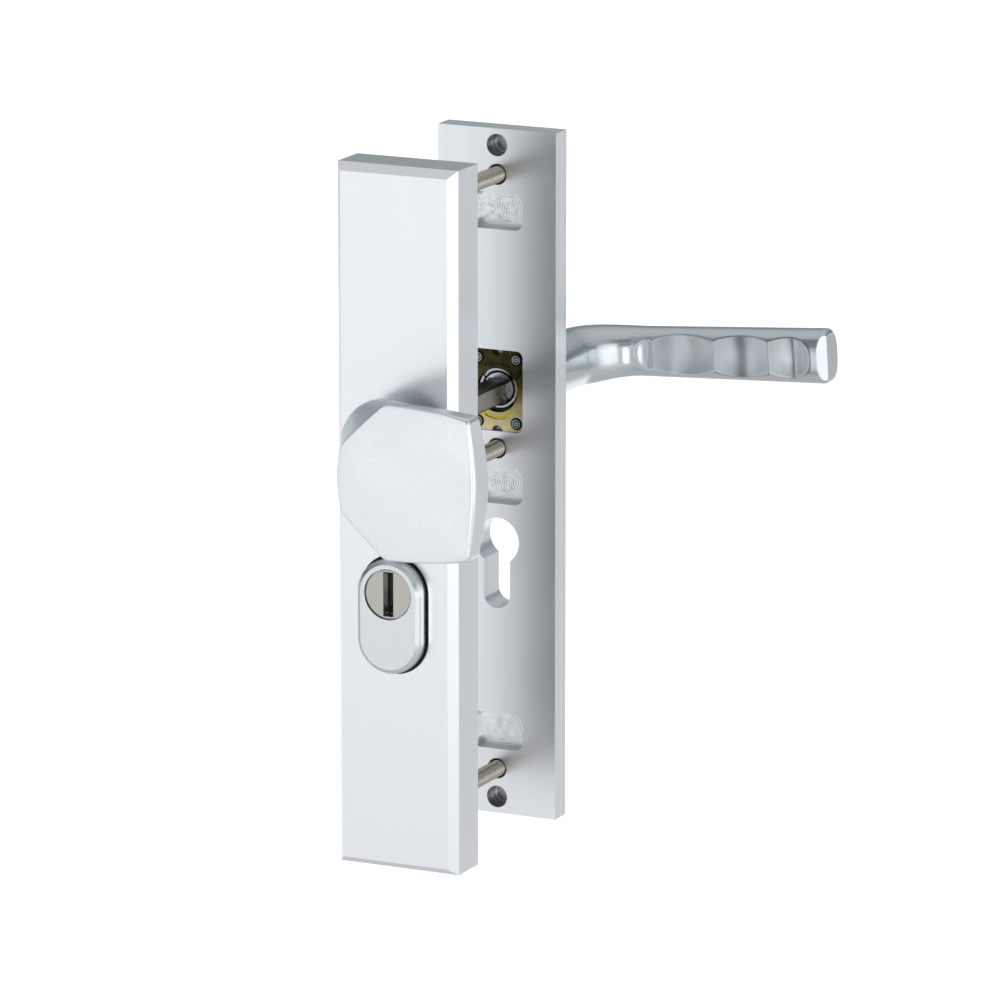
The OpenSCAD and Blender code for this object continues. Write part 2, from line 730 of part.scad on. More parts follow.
module spindle() {
    color("silver") {
        along_y(spindle_end_y + journal_l, room_y + spindle_room_l) difference() {
            square(spindle_w, center = true);
            for (a = [0:90:270]) rotate(a) translate([spindle_w / 2, spindle_w / 2]) rotate(45)
                square([spindle_corner * sqrt(2), 4], center = true);
        }
        bar(journal_r, spindle_end_y, spindle_end_y + journal_l + 0.5);
    }
}

module neck_ring() {
    color("dimgray") difference() {
        bar(neck_r + 1.1, neck_ring_y, neck_ring_y + neck_ring_t);
        bar(neck_r - 0.85, neck_ring_y - over, neck_ring_y + neck_ring_t + over);
        translate([-1.5, neck_ring_y - over, -2 * neck_r]) cube([3, neck_ring_t + 2 * over, 2 * neck_r]);
    }
}

module spindle_clip() {
    y = -armour_recess + apart + 0.1;
    color("dimgray") difference() {
        bar(journal_r + 1.6, y, y + clip_t);
        bar(journal_r + 0.02, y - over, y + clip_t + over);
        translate([-2, y - over, -3 * journal_r]) cube([4, clip_t + 2 * over, 3 * journal_r]);
    }
}

outer_plate();
outer_armour_plate();
armour_screws();
boss_nuts();
outer_spindle_bush();
knob();
knob_spigot();
knob_screw();
knob_washer();
knob_dowel_pins();
cover_guide();
inner_plate();
mechanism_plate();
mechanism_rivets();
lever_bearing_ring();
return_spring();
fixing_screws();
lever_handle();
lever_hub();
spindle();
lever_grub_screw();
neck_ring();
spindle_clip();
cover_cap();
cover_insert();
cover_flange();
cover_screws();
cover_springs();
disc_circlip();
key_disc();
key_guide();
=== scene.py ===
"""Looks of a security door fitting: two long plates, a cranked knob, a lever, a sprung cylinder cover.

Metres, +Z up, +Y into the door. The origin lies on the spindle axis on the outer plate's back face.
"""
import math

import bpy
import numpy as np
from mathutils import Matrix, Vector


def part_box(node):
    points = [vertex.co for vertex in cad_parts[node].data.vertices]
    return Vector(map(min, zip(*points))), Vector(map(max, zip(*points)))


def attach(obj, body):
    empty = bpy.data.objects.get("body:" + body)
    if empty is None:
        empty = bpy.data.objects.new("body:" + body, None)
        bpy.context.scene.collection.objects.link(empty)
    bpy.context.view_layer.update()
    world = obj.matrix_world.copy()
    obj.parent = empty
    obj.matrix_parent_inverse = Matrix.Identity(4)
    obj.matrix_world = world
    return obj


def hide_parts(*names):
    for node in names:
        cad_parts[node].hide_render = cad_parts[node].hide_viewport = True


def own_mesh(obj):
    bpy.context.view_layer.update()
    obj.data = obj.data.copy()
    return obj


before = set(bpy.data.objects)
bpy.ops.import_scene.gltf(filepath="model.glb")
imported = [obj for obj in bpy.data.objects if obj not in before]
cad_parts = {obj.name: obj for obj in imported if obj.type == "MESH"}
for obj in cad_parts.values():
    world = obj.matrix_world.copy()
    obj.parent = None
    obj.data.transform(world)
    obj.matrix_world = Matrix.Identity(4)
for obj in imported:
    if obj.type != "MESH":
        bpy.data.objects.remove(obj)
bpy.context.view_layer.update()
MM = 0.001


# ---------------------------------------------------------------- places read from the frame

def corners(node):
    """Lowest and highest corner of a node, in millimetres."""
    low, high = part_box(node)
    return np.array(low) / MM, np.array(high) / MM


outer_low, outer_high = corners("outer_plate")
inner_low, inner_high = corners("inner_plate")
knob_low, knob_high = corners("knob")
lever_low = corners("lever_handle")[0]
screw_low, screw_high = corners("fixing_screws")

FRONT_Y = outer_low[1]
DOOR_Y = inner_low[1]
ROOM_Y = inner_high[1]
MID_Z = (outer_low[2] + outer_high[2]) / 2

# the inner plate's three pockets, its blind stud holes, and the rivets of the mechanism plate
POCKET_ZS = (64.9, -34.6, -125.1)
POCKET_DEEP = 5.0
STUD_INSET, STUD_R, STUD_DEEP = 6.0, 4.0, 6.0
RIVET_X, RIVET_Z, RIVET_R = 7.5, 11.6, 1.95


# ---------------------------------------------------------------- surfaces

def ease(u):
    """Smooth step from 0 to 1: u squared times (3 - 2u)."""
    u = np.clip(u, 0.0, 1.0)
    return u * u * (3 - 2 * u)


def mix(a, b, t):
    """Straight blend from a to b."""
    return a + (b - a) * t


def skin(name, rings, closed=False, sharp=30.0):
    """A mesh over rings[i, j], an array of points in millimetres. Every ring is closed along j; the first and
    last ring are closed by a fan to their middle, or joined to each other when closed is true."""
    m, n = rings.shape[:2]
    points = rings.reshape(-1, 3)
    last = m if closed else m - 1
    i = np.arange(last)[:, None]
    j = np.arange(n)[None, :]
    a = i * n + j
    b = i * n + (j + 1) % n
    c = ((i + 1) % m) * n + (j + 1) % n
    d = ((i + 1) % m) * n + j
    quads = np.stack([a, b, c, d], axis=-1).reshape(-1, 4)
    faces = [quads]
    if not closed:
        points = np.vstack([points, rings[0].mean(axis=0), rings[-1].mean(axis=0)])
        k = np.arange(n)
        faces.append(np.stack([(k + 1) % n, k, np.full(n, m * n)], axis=-1))
        top = (m - 1) * n
        faces.append(np.stack([top + k, top + (k + 1) % n, np.full(n, m * n + 1)], axis=-1))
    mesh = bpy.data.meshes.new(name)
    mesh.from_pydata((points * MM).tolist(), [], [f for part in faces for f in part.tolist()])
    mesh.shade_smooth()
    mesh.set_sharp_from_angle(angle=math.radians(sharp))
    mesh.update()
    piece = bpy.data.objects.new(name, mesh)
    bpy.context.collection.objects.link(piece)
    return piece


def join_pieces(name, pieces):
    """One object that holds the meshes of several."""
    bpy.ops.object.select_all(action="DESELECT")
    for piece in pieces:
        piece.select_set(True)
    bpy.context.view_layer.objects.active = pieces[0]
    bpy.ops.object.join()
    pieces[0].name = name
    return pieces[0]


# ---------------------------------------------------------------- finishes

class Finish:
    """A metal or polymer finish built from nodes."""

    def __init__(self, name, colour, roughness, metallic=1.0):
        self.material = bpy.data.materials.new(name)
        self.material.use_nodes = True
        self.tree = self.material.node_tree
        self.shader = self.tree.nodes["Principled BSDF"]
        self.shader.inputs["Base Color"].default_value = (*colour, 1)
        self.shader.inputs["Roughness"].default_value = roughness
        self.shader.inputs["Metallic"].default_value = metallic
        self.base = colour
        self.roughness = roughness

    def node(self, kind, **settings):
        made = self.tree.nodes.new(kind)
        for key, value in settings.items():
            setattr(made, key, value)
        return made

    def link(self, start, end):
        self.tree.links.new(start, end)

    def place(self, scale):
        """Object coordinates, scaled per metre."""
        coordinates = self.node("ShaderNodeTexCoord")
        stretch = self.node("ShaderNodeMapping", vector_type="POINT")
        stretch.inputs["Scale"].default_value = scale
        self.link(coordinates.outputs["Object"], stretch.inputs["Vector"])
        return stretch.outputs["Vector"]

    def noise(self, scale, detail=3.0, roughness=0.55):
        texture = self.node("ShaderNodeTexNoise")
        texture.inputs["Scale"].default_value = 1.0
        texture.inputs["Detail"].default_value = detail
        texture.inputs["Roughness"].default_value = roughness
        self.link(self.place(scale), texture.inputs["Vector"])
        return texture.outputs["Fac"]

    def spread(self, value, low, high, to_low, to_high):
        """Maps a value from one range to another."""
        step = self.node("ShaderNodeMapRange")
        for key, number in (("From Min", low), ("From Max", high), ("To Min", to_low), ("To Max", to_high)):
            step.inputs[key].default_value = number
        self.link(value, step.inputs["Value"])
        return step.outputs["Result"]

    def sums(self, operation, a, b):
        step = self.node("ShaderNodeMath", operation=operation)
        for socket, value in zip(step.inputs, (a, b)):
            if isinstance(value, (int, float)):
                socket.default_value = value
            else:
                self.link(value, socket)
        return step.outputs["Value"]

    def distance(self, x, z, place_x, place_z):
        """Distance of a point from an axis along Y, in the units of x and z."""
        dx = self.sums("SUBTRACT", x, place_x)
        dz = self.sums("SUBTRACT", z, place_z)
        squares = self.sums("ADD", self.sums("MULTIPLY", dx, dx), self.sums("MULTIPLY", dz, dz))
        return self.sums("SQRT", squares, 0.0)

    def between(self, value, low, high, soft):
        """1 where the value lies between low and high, 0 elsewhere, with a soft step at either end."""
        return self.sums("MULTIPLY", self.spread(value, low - soft, low, 0.0, 1.0),
                         self.spread(value, high, high + soft, 1.0, 0.0))

    def vary_roughness(self, value, amount, low=0.35, high=0.65):
        self.link(self.spread(value, low, high, self.roughness - amount, self.roughness + amount),
                  self.shader.inputs["Roughness"])

    def vary_colour(self, value, dark, light, low=0.3, high=0.7):
        """Colour between two multiples of the base colour."""
        ramp = self.node("ShaderNodeValToRGB")
        ramp.color_ramp.elements[0].position = low
        ramp.color_ramp.elements[1].position = high
        ramp.color_ramp.elements[0].color = (*[min(1, c * dark) for c in self.base], 1)
        ramp.color_ramp.elements[1].color = (*[min(1, c * light) for c in self.base], 1)
        self.link(value, ramp.inputs["Fac"])
        self.link(ramp.outputs["Color"], self.shader.inputs["Base Color"])
        return ramp

    def bump(self, value, distance_mm, strength=1.0, edge_mm=0.0):
        """Bump from a height value; edge_mm rounds the shading of hard edges."""
        step = self.node("ShaderNodeBump")
        step.inputs["Strength"].default_value = strength
        step.inputs["Distance"].default_value = distance_mm * MM
        self.link(value, step.inputs["Height"])
        if edge_mm:
            edge = self.node("ShaderNodeBevel", samples=6)
            edge.inputs["Radius"].default_value = edge_mm * MM
            self.link(edge.outputs["Normal"], step.inputs["Normal"])
        self.link(step.outputs["Normal"], self.shader.inputs["Normal"])
        return step


ALUMINIUM = (0.855, 0.87, 0.90)


def extruded_aluminium():
    """Satin anodised plate: long fine vertical grain, faint clouds, softened edges."""
    finish = Finish("satin_plate", ALUMINIUM, 0.29)
    grain = finish.noise((5200, 5200, 24), detail=2)
    cloud = finish.noise((30, 30, 12), detail=3)
    both = finish.sums("ADD", finish.sums("MULTIPLY", grain, 0.7), finish.sums("MULTIPLY", cloud, 0.3))
    finish.vary_roughness(both, 0.015, 0.35, 0.65)
    finish.vary_colour(grain, 0.99, 1.005)
    finish.bump(grain, 0.0004, 0.1, edge_mm=0.1)
    return finish.material


def milled_inner_plate():
    """The extruded finish with milled pocket floors: overlapping rings that the cutter left around two centres
    in each pocket, where the surface lies at the pockets' depth."""
    finish = Finish("satin_inner_plate", ALUMINIUM, 0.33)
    grain = finish.noise((5200, 5200, 24), detail=2)
    split = finish.node("ShaderNodeSeparateXYZ")
    finish.link(finish.place((1 / MM, 1 / MM, 1 / MM)), split.inputs["Vector"])
    x, y, z = (split.outputs[axis] for axis in "XYZ")
    wobble = finish.sums("MULTIPLY", finish.noise((160, 160, 160), detail=1), 0.7)
    rings = None
    for place_z in POCKET_ZS:
        for place_x, rise, pitch in ((2.2, 0.4, 0.95), (-3.0, -0.3, 0.9)):
            r = finish.sums("ADD", finish.distance(x, z, place_x, place_z + rise), wobble)
            wave = finish.sums("SINE", finish.sums("MULTIPLY", r, 2 * math.pi / pitch), 0.0)
            near = finish.spread(r, 8.5, 5.0, 0.0, 0.7)
            part = finish.sums("MULTIPLY", wave, near)
            rings = part if rings is None else finish.sums("ADD", rings, part)
    broken = finish.spread(finish.noise((420, 420, 420), detail=3), 0.38, 0.62, 0.25, 1.0)
    rings = finish.sums("MULTIPLY", rings, broken)
    floor_part = finish.between(y, DOOR_Y + POCKET_DEEP - 0.2, DOOR_Y + POCKET_DEEP + 0.2, 0.1)
    marks = finish.sums("MULTIPLY", rings, floor_part)
    # painted shade: darker walls in the stud holes, with a ring at each hole's floor edge left undarkened, and
    # a darker space behind the mechanism plate
    bore_shade = None
    for place_z in (outer_high[2] - STUD_INSET, outer_low[2] + STUD_INSET):
        r = finish.distance(x, z, 0.0, place_z)
        inside = finish.sums("MULTIPLY", finish.spread(r, STUD_R + 0.15, STUD_R + 0.05, 0.0, 1.0),
                             finish.spread(r, STUD_R - 0.75, STUD_R - 0.6, 1.0, 0.9))
        ring = finish.sums("MULTIPLY", finish.between(r, STUD_R - 1.0, STUD_R - 0.55, 0.1),
                           finish.spread(y, DOOR_Y + STUD_DEEP - 0.2, DOOR_Y + STUD_DEEP - 0.1, 0.0, 1.0))
        inside = finish.sums("SUBTRACT", inside, ring)
        bore_shade = inside if bore_shade is None else finish.sums("ADD", bore_shade, inside)
    bore_shade = finish.sums("MULTIPLY", bore_shade, finish.between(y, DOOR_Y + 0.35, DOOR_Y + STUD_DEEP + 0.3, 0.1))
    room_shade = finish.sums("MULTIPLY", finish.between(x, -12.6, 12.6, 0.05), finish.between(z, -15.4, 15.4, 0.05))
    room_shade = finish.sums("MULTIPLY", room_shade, finish.between(y, DOOR_Y + 0.35, ROOM_Y - 1.0, 0.05))
    dark = finish.sums("MAXIMUM", bore_shade, room_shade)
    rough = finish.spread(grain, 0.35, 0.65, 0.30, 0.36)
    finish.link(finish.sums("ADD", rough, finish.sums("MULTIPLY", floor_part, 0.03)),
                finish.shader.inputs["Roughness"])
    tone = finish.spread(grain, 0.3, 0.7, 0.98, 1.01)
    tone = finish.sums("ADD", tone, finish.sums("MULTIPLY", marks, 0.08))
    tone = finish.sums("ADD", tone, finish.sums("MULTIPLY", floor_part, 0.14))
    # painted shade: the stud holes and the space behind the mechanism plate are darkened here
    tone = finish.sums("MULTIPLY", tone, finish.sums("SUBTRACT", 1.0, finish.sums("MULTIPLY", dark, 0.62)))
    shade = finish.node("ShaderNodeVectorMath", operation="SCALE")
    shade.inputs[0].default_value = ALUMINIUM
    finish.link(tone, shade.inputs["Scale"])
    finish.link(shade.outputs["Vector"], finish.shader.inputs["Base Color"])
    height = finish.sums("ADD", finish.sums("MULTIPLY", grain, 0.04), finish.sums("MULTIPLY", marks, 0.9))
    finish.bump(height, 0.06, 0.8, edge_mm=0.12)
    return finish.material


def blasted_aluminium(name, roughness, grain_mm, colour=ALUMINIUM, bump_mm=0.005):
    """Satin anodised casting or forging: very fine matt blasting with faint clouds."""
    finish = Finish(name, colour, roughness)
    fine = finish.noise([1 / (grain_mm * MM)] * 3, detail=2)
    cloud = finish.noise((45, 45, 45), detail=4)
    both = finish.sums("ADD", finish.sums("MULTIPLY", fine, 0.5), finish.sums("MULTIPLY", cloud, 0.5))
    finish.vary_roughness(both, 0.06)
    finish.vary_colour(cloud, 0.97, 1.015)
    finish.bump(fine, bump_mm, 0.6, edge_mm=0.15)
    return finish.material


def plain_metal(name, colour, roughness, grain=900, spread=0.08, tone=(0.9, 1.06), bump_mm=0.006, edge_mm=0.1):
    """Small steel or brass part: fine mottling in colour, roughness and height."""
    finish = Finish(name, colour, roughness)
    fine = finish.noise((grain, grain, grain), detail=4)
    finish.vary_roughness(fine, spread)
    finish.vary_colour(fine, *tone)
    finish.bump(fine, bump_mm, 0.6, edge_mm=edge_mm)
    return finish.material


def chromated_zinc():
    """Yellow chromate on zinc with cloudy patches of its own; painted shade makes it dark olive and brown
    above, pale gold below; a painted highlight is a bright yellow arc under the bearing, and painted shadow is
    a dark ring round each rivet."""
    finish = Finish("yellow_zinc", (0.40, 0.32, 0.14), 0.33)
    split = finish.node("ShaderNodeSeparateXYZ")
    finish.link(finish.place((1 / MM, 1 / MM, 1 / MM)), split.inputs["Vector"])
    x, z = split.outputs["X"], split.outputs["Z"]
    patch = finish.noise((300, 300, 300), detail=4, roughness=0.62)
    # painted shade: darker towards the top, over the chromate's own cloudy patches
    height = finish.spread(z, -13.0, 9.0, 0.95, 0.12)
    where = finish.sums("ADD", height, finish.sums("MULTIPLY", finish.sums("SUBTRACT", patch, 0.5), 0.9))
    ramp = finish.node("ShaderNodeValToRGB")
    tones = ((0.0, (0.022, 0.018, 0.009)), (0.3, (0.085, 0.068, 0.026)), (0.55, (0.26, 0.20, 0.075)),
             (0.75, (0.50, 0.41, 0.20)), (1.0, (0.68, 0.60, 0.38)))
    ramp.color_ramp.elements[0].color = (*tones[0][1], 1)
    ramp.color_ramp.elements[1].color = (*tones[-1][1], 1)
    for position, colour in tones[1:-1]:
        ramp.color_ramp.elements.new(position).color = (*colour, 1)
    finish.link(where, ramp.inputs["Fac"])
    # painted highlight: a bright yellow arc under the bearing
    arc = finish.between(finish.distance(x, z, 0.0, 0.0), 9.4, 10.5, 0.25)
    arc = finish.sums("MULTIPLY", arc, finish.spread(z, -7.9, -8.9, 0.0, 0.85))
    gold = finish.node("ShaderNodeMix", data_type="RGBA")
    gold.inputs["B"].default_value = (0.66, 0.50, 0.03, 1)
    finish.link(arc, gold.inputs["Factor"])
    finish.link(ramp.outputs["Color"], gold.inputs["A"])
    # painted shadow: a dark ring round each rivet, for the gap at its edge
    rings = None
    for place_x in (-RIVET_X, RIVET_X):
        for place_z in (-RIVET_Z, RIVET_Z):
            ring = finish.spread(finish.distance(x, z, place_x, place_z), RIVET_R + 0.2, RIVET_R + 0.5,
                                 1.0, 0.0)
            rings = ring if rings is None else finish.sums("MAXIMUM", rings, ring)
    dark = finish.node("ShaderNodeMix", data_type="RGBA")
    dark.inputs["B"].default_value = (0.006, 0.006, 0.006, 1)
    finish.link(rings, dark.inputs["Factor"])
    finish.link(gold.outputs["Result"], dark.inputs["A"])
    finish.link(dark.outputs["Result"], finish.shader.inputs["Base Color"])
    finish.vary_roughness(patch, 0.1)
    finish.bump(finish.noise((1500, 1500, 1500), detail=3), 0.01, 0.4, edge_mm=0.12)
    return finish.material


def turned_hub():
    """Turned hub: painted shade in a groove round its middle, a bright ring outside that, and painted shadow
    in the gap at its rim, widest at the bottom.
    """
    finish = Finish("hub_steel", (0.46, 0.48, 0.50), 0.26)
    split = finish.node("ShaderNodeSeparateXYZ")
    finish.link(finish.place((1 / MM, 1 / MM, 1 / MM)), split.inputs["Vector"])
    x, z = split.outputs["X"], split.outputs["Z"]
    # painted shade in the groove, and painted shadow at the rim, whose centre sits higher so the shadow is
    # deeper at the bottom
    groove = finish.between(finish.distance(x, z, 0.0, 0.6), 5.7, 6.3, 0.15)
    rim = finish.spread(finish.distance(x, z, 0.0, 0.9), 7.4, 7.7, 0.0, 1.0)
    dark = finish.sums("MAXIMUM", groove, rim)
    finish.vary_colour(dark, 1.0, 0.03, 0.0, 1.0)
    finish.vary_roughness(finish.noise((1500, 1500, 1500)), 0.06)
    finish.bump(dark, -0.3, 0.8, edge_mm=0.1)
    return finish.material


def riveted_zinc():
    """Zinc rivet heads: painted shade for a pressed ring and a centre point on each, and painted shadow round
    each head's edge.
    """
    finish = Finish("rivet_zinc", (0.44, 0.47, 0.50), 0.27)
    split = finish.node("ShaderNodeSeparateXYZ")
    finish.link(finish.place((1 / MM, 1 / MM, 1 / MM)), split.inputs["Vector"])
    x, z = split.outputs["X"], split.outputs["Z"]
    r = finish.distance(finish.sums("ABSOLUTE", x, 0.0), finish.sums("ABSOLUTE", z, 0.0), RIVET_X, RIVET_Z)
    # painted shade in the pressed ring and centre point, painted shadow at the head's edge
    dark = finish.sums("MAXIMUM", finish.between(r, 0.85, 1.2, 0.12), finish.spread(r, 0.25, 0.45, 1.0, 0.0))
    dark = finish.sums("MAXIMUM", dark, finish.spread(r, 1.5, 1.7, 0.0, 1.0))
    finish.vary_colour(dark, 1.0, 0.08, 0.0, 1.0)
    finish.vary_roughness(finish.noise((1500, 1500, 1500)), 0.06)
    finish.bump(dark, -0.05, 0.8, edge_mm=0.1)
    return finish.material


def black_polymer():
    finish = Finish("black_polymer", (0.02, 0.02, 0.022), 0.5, metallic=0.0)
    fine = finish.noise((1800, 1800, 1800))
    finish.vary_roughness(fine, 0.08)
    finish.bump(fine, 0.008, 0.5)
    return finish.material


def paint(node, material):
    """Gives one of the frame's own nodes its finish."""
    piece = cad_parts[node]
    piece.data.materials.clear()
    piece.data.materials.append(material)


plate_finish = extruded_aluminium()
inner_finish = milled_inner_plate()
knob_finish = blasted_aluminium("satin_knob", 0.30, 0.35, (0.84, 0.86, 0.885), bump_mm=0.007)
# painted shade: the lever is the same anodised aluminium as the plates, with its colour darkened for the dark
# it reflects
shaded_lever_finish = blasted_aluminium("satin_lever_painted_shade", 0.22, 0.22, (0.62, 0.655, 0.68))
cover_finish = blasted_aluminium("satin_cover", 0.27, 0.2, (0.72, 0.74, 0.76))
zinc = plain_metal("bright_zinc", (0.60, 0.62, 0.64), 0.28, grain=1500, spread=0.05, tone=(0.95, 1.03),
                   bump_mm=0.002)
hub_finish = turned_hub()
nickel = plain_metal("nickel_steel", (0.50, 0.46, 0.40), 0.33, grain=1400)
spindle_steel = plain_metal("drawn_steel", (0.18, 0.176, 0.158), 0.34, grain=1600, tone=(0.93, 1.04))
silver_disc = plain_metal("nickel_silver", (0.56, 0.545, 0.495), 0.36, grain=1500, tone=(0.95, 1.03))
hardened = plain_metal("hardened_steel", (0.20, 0.21, 0.22), 0.42)
spring_steel = plain_metal("spring_steel", (0.38, 0.38, 0.39), 0.34)
bronze = plain_metal("sintered_bronze", (0.52, 0.35, 0.17), 0.48)
black_oxide = plain_metal("black_oxide", (0.02, 0.02, 0.022), 0.45)
yellow = chromated_zinc()
rivet_finish = riveted_zinc()
polymer = black_polymer()

for node, material in {
    "outer_plate": plate_finish, "inner_plate": inner_finish, "outer_armour_plate": hardened,
    "armour_screws": zinc, "boss_nuts": zinc, "outer_spindle_bush": bronze, "knob": knob_finish,
    "knob_spigot": zinc, "knob_screw": black_oxide, "knob_washer": zinc, "knob_dowel_pins": spring_steel,
    "cover_guide": polymer, "mechanism_plate": yellow, "mechanism_rivets": rivet_finish,
    "lever_bearing_ring": zinc, "return_spring": spring_steel, "fixing_screws": nickel,
    "lever_handle": shaded_lever_finish, "lever_hub": hub_finish, "spindle": spindle_steel,
    "lever_grub_screw": black_oxide,
    "neck_ring": spring_steel, "spindle_clip": spring_steel, "cover_cap": cover_finish,
    "cover_insert": hardened, "cover_flange": hardened, "cover_screws": zinc, "cover_springs": spring_steel,
    "disc_circlip": spring_steel, "key_disc": silver_disc, "key_guide": black_oxide,
}.items():
    paint(node, material)


# ---------------------------------------------------------------- knob

KNOB_REACH = FRONT_Y - knob_low[1]
KNOB_GAP = FRONT_Y - knob_high[1]
KNOB_CRANK = 35.7
KNOB_ARCS = ((0, 24.9, 220), (87.25, 26.8, 168), (133.4, 25.2, 300), (180, 25.5, 42),
             (226.6, 25.2, 300), (272.75, 26.8, 168))
KNOB_REAR_R, KNOB_WAIST_R, KNOB_WAIST_P, KNOB_WAIST_X, KNOB_SIDE = 15.5, 18.2, 21.0, 7.8, 11.0
KNOB_REAR_ROUND, KNOB_FACE_CROWN, KNOB_BEVEL_X = 1.6, 0.35, 1.2


def knob_edge(a, corner=60):
    """Reach of the face's outline in direction a: the soft least of the reaches to six wide arcs."""
    total = 0.0
    for direction, distance, radius in KNOB_ARCS:
        centre = distance - radius
        t = centre * np.cos(a - math.radians(direction))
        total = total + (t + np.sqrt(t * t - centre * centre + radius * radius)) ** -corner
    return total ** (-1 / corner)


def knob_section(a, p, inset):
    """Points at angles a, a distance p off the plate: a circle at the waist that grows into the face's
    outline, its middle moving sideways, and reaching it early on the side the knob points to."""
    c = np.cos(a)
    wall = 2 + 3 * ease((c + 0.5) / 0.6) + 6 * np.maximum(0, c) ** 2
    w = np.clip((p - KNOB_WAIST_P) / (KNOB_REACH - wall - KNOB_WAIST_P), 0, 1)
    w = w - 0.12 * np.sin(np.pi * w) * w
    back = KNOB_WAIST_X * (p / KNOB_WAIST_P) ** 1.5
    ahead = mix(KNOB_WAIST_X, KNOB_CRANK,
                np.clip((p - KNOB_WAIST_P) / (KNOB_REACH - KNOB_SIDE - KNOB_WAIST_P), 0, 1))
    x = np.where(p < KNOB_WAIST_P, back, ahead)
    r0 = mix(KNOB_REAR_R, KNOB_WAIST_R, np.clip((p - KNOB_GAP) / (KNOB_WAIST_P - KNOB_GAP), 0, 1))
    r = mix(r0, knob_edge(a) + KNOB_BEVEL_X * np.maximum(0, c) ** 3, w) - inset
    return np.stack([x + r * c, FRONT_Y - p, r * np.sin(a)], axis=-1)


def make_knob():
    """Rings from the rounded rear end to the face's rounded edge, then shrinking to the face's middle."""
    a = np.linspace(0, 2 * np.pi, 256, endpoint=False)[None, :]
    t = np.linspace(0, np.pi / 2, 8)[:, None]
    rear = knob_section(a, KNOB_GAP + KNOB_REAR_ROUND * (1 - np.cos(t)) + 0 * a,
                        KNOB_REAR_ROUND * (1 - np.sin(t)))
    right = ease((np.cos(a) - 0.45) / 0.45)
    deep = 0.5 + 2.0 * right
    wide = 0.5 + 1.3 * right
    p0 = KNOB_GAP + KNOB_REAR_ROUND
    body_p = p0 + np.linspace(0, 1, 70)[1:, None] * (KNOB_REACH - KNOB_FACE_CROWN - deep - p0)
    body = knob_section(a, body_p, 0)
    edge_t = np.linspace(0, np.pi / 2, 9)[1:, None]
    edge_p = KNOB_REACH - KNOB_FACE_CROWN - deep * (1 - np.sin(edge_t))
    edge = knob_section(a, edge_p, wide * (1 - np.cos(edge_t)))
    middle = np.array([KNOB_CRANK, FRONT_Y - KNOB_REACH, 0.0])
    f = np.linspace(0, 1, 14)[1:-1, None, None]
    rim = edge[-1][None]
    face = mix(rim, middle, f)
    face[..., 1] = FRONT_Y - KNOB_REACH + KNOB_FACE_CROWN * (1 - f[..., 0]) ** 2
    rings = np.concatenate([rear, body, edge, face])
    return skin("knob_body", rings, sharp=35)


knob = make_knob()
knob.data.materials.append(knob_finish)
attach(knob, "plates")
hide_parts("knob")


# ---------------------------------------------------------------- lever

LEVER_OFF, LEVER_L, LEVER_H, LEVER_T = 65.5, 96.0, 19.0, 14.5
LEVER_SLOPE = math.radians(3.7)
# radius at the foot, half height and half thickness where the bend starts, part of the section left at the end
FOOT_R, BEND_HALF_H, BEND_HALF_T, END_PART = 10.0, 10.6, 10.4, 0.78
BEND_R = 22.0
GRIP_Y = ROOM_Y + LEVER_OFF
SHOULDER_Y = ROOM_Y + 1.7
NECK_L = GRIP_Y - BEND_R - SHOULDER_Y
ARC_L = BEND_R * math.pi / 2
PATH_L = NECK_L + ARC_L + LEVER_L - BEND_R
NECK_R, NECK_RING_Y, NECK_RING_T = 9.0, 72.2, 0.9
FINGER_XS = np.array([0.215, 0.296, 0.547, 0.772, 0.948]) * LEVER_L
FINGER_FLAT, FINGER_DIP, FINGER_RUN, FINGER_BOWL, FIRST_EASE = 1.0, 0.062, 8.0, 0.009, 1.5
END_ROUND, END_FLAT, END_TURN = 2.2, 4.2, math.radians(33)


def soft_least(a, b, k):
    """The lesser of two values, with the corner between them rounded over about k."""
    h = np.clip(0.5 + 0.5 * (b - a) / k, 0, 1)
    return mix(b, a, h) - k * h * (1 - h)


def finger_cut(x):
    """Depth of the flat on the door side, with a half sine wave deeper between each two finger ridges, in
    proportion to its length. The first wave starts softly, with its place squared."""
    depth = np.zeros_like(x)
    for left, right in zip(FINGER_XS[:-1], FINGER_XS[1:]):
        inside = (x > left) & (x < right)
        part = np.clip((x - left) / (right - left), 0, 1)
        wave = np.sin(np.pi * part ** (FIRST_EASE if left == FINGER_XS[0] else 1.0))
        depth = np.where(inside, FINGER_DIP * (right - left) * wave, depth)
    run = ease((x - FINGER_XS[0]) / FINGER_RUN) * ease((FINGER_XS[-1] - x) / FINGER_RUN)
    return depth + FINGER_FLAT * run


